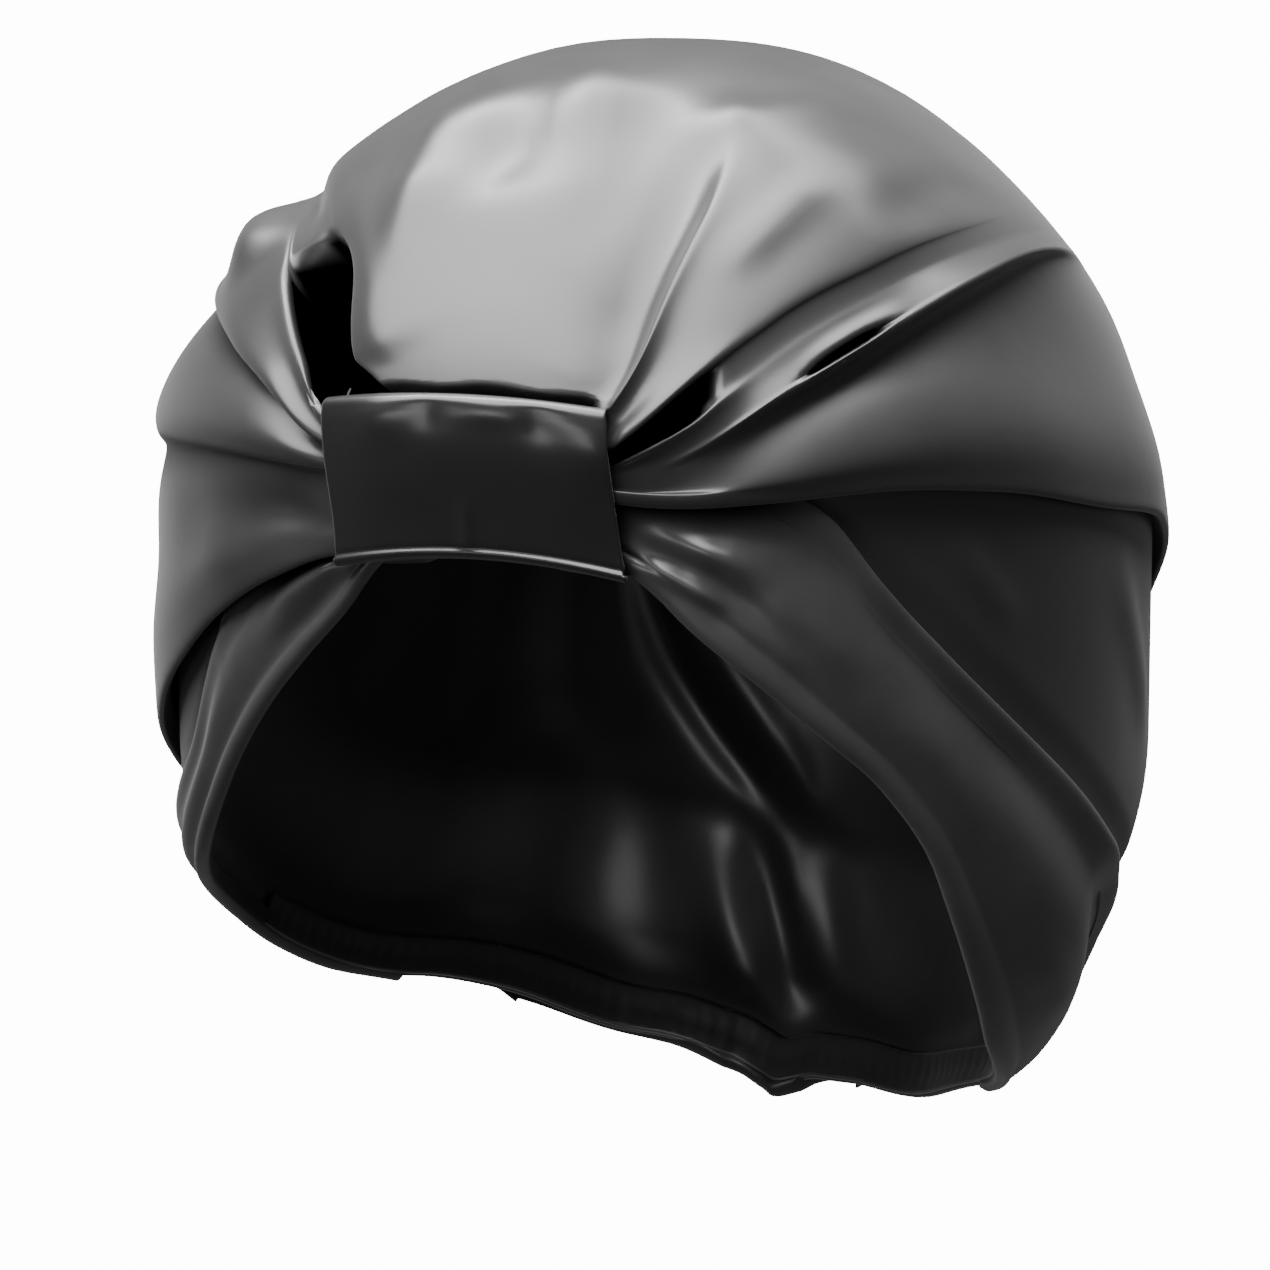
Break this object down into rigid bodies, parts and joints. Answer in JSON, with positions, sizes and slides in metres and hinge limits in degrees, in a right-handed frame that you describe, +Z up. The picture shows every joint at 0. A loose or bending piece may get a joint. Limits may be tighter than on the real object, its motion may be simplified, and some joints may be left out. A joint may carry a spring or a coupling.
{
  "type": "turban headwrap",
  "caption": "Black satin turban headwrap in its worn form: pleated crown drawn into a folded front band, with crossed brow wraps, covered sides and a gathered nape.",
  "frame": {"origin": "where the crown of the head bears on the inside of the lining, at the top of the hollow", "axes": "+Z up, the front band and the wearer's brow towards -Y, the wearer's left towards +X"},
  "size_m": [0.2122, 0.2236, 0.2417],
  "materials": {
    "crown_satin": "black satin, soft sheen",
    "band_satin": "black satin, soft sheen",
    "brow_satin": "black satin, soft sheen",
    "side_satin": "black satin, soft sheen",
    "lining_satin": "black satin lining, dull side"
  },
  "bodies": {
    "root": {"crown": "crown_satin", "front_band": "band_satin", "brow_wrap_left": "brow_satin", "brow_wrap_right": "brow_satin", "side_wrap_left": "side_satin", "side_wrap_right": "side_satin", "lining": "lining_satin", "nape_casing": "lining_satin"}
  },
  "joints": []
}
